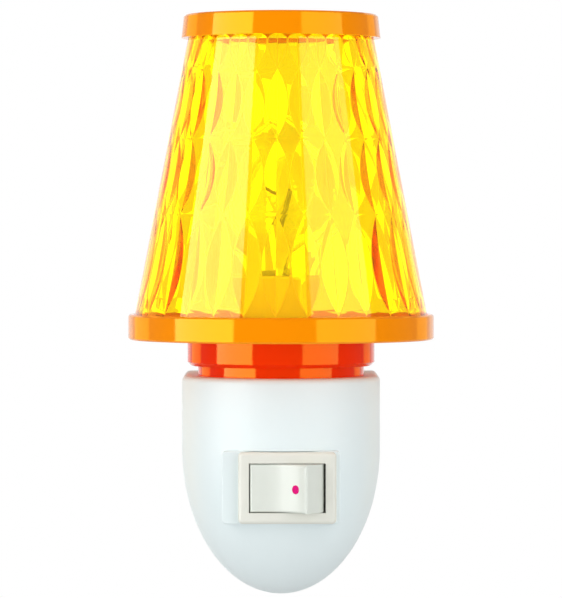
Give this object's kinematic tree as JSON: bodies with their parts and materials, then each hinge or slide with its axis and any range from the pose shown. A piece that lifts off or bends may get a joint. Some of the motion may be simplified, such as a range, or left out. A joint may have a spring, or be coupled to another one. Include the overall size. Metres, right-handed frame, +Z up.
{
  "type": "plug in night light",
  "caption": "Plug in night light with a tapered transparent shade between two rings, a round white housing, a rocker switch and two wall blades.",
  "frame": {"origin": "midway between the two blades, on the wall plate", "axes": "+Y into the wall along the blades, +Z up, +X to the right seen from the front"},
  "size_m": [0.067, 0.085, 0.1267],
  "materials": {
    "housing_white": "moulded, slightly glossy",
    "switch_ivory": "moulded, satin",
    "plunger_nylon": "moulded nylon",
    "neck_orange": "clear deep orange, polished",
    "ring_orange": "clear orange, polished",
    "shade_yellow": "clear yellow, polished",
    "blade_metal": "nickel plated",
    "contact_brass": "stamped",
    "screw_steel": "zinc plated",
    "fibre_board": "pressed fibre",
    "bulb_clear_glass": "clear blown glass",
    "bulb_base_metal": "drawn sleeve",
    "bulb_black_glass": "black vitrite",
    "bulb_solder": "solder and nickel wire",
    "filament_metal": "drawn wire",
    "wire_black": "soft insulation",
    "wire_white": "soft insulation"
  },
  "bodies": {
    "base": {"front_shell": "housing_white", "rear_cover": "housing_white", "live_blade": "blade_metal", "neutral_blade": "blade_metal", "cover_screws": "screw_steel", "switch_body": "switch_ivory", "common_terminal": "contact_brass", "load_terminal": "contact_brass", "socket_collar": "neck_orange", "lamp_holder": "neck_orange", "holder_screws": "screw_steel", "socket_washer": "fibre_board", "socket_contact": "contact_brass", "socket_shell": "contact_brass", "live_wire": "wire_black", "switched_wire": "wire_black", "neutral_wire": "wire_white"},
    "rocker": {"rocker": "switch_ivory", "plunger": "plunger_nylon", "plunger_spring": "screw_steel"},
    "lever": {"contact_lever": "contact_brass"},
    "bulb": {"bulb_glass": "bulb_clear_glass", "bulb_shell": "bulb_base_metal", "bulb_insulator": "bulb_black_glass", "bulb_tip": "bulb_solder", "bulb_stem": "bulb_clear_glass", "bulb_leads": "bulb_solder", "filament": "filament_metal"},
    "shade": {"neck_collar": "neck_orange", "bottom_ring": "ring_orange", "shade_cone": "shade_yellow", "top_ring": "ring_orange"}
  },
  "joints": [
    {"name": "rocker_tilt", "type": "hinge", "parent": "base", "child": "rocker", "pos_m": [0.00135, -0.05435, -0.00035], "axis": [0, 0, 1], "range_deg": [0, 42]},
    {"name": "lever_tilt", "type": "hinge", "parent": "base", "child": "lever", "pos_m": [0.00135, -0.04825, -0.00035], "axis": [0, 0, 1], "range_deg": [-21, 0]},
    {"name": "shade_lift", "type": "slide", "parent": "base", "child": "shade", "axis": [0, 0, 1], "range_m": [0, 0.06]},
    {"name": "bulb_lift", "type": "slide", "parent": "base", "child": "bulb", "axis": [0, 0, 1], "range_m": [0, 0.03]}
  ],
  "couplings": [
    {"joint": "lever_tilt", "follows": "rocker_tilt", "ratio": -0.5}
  ]
}
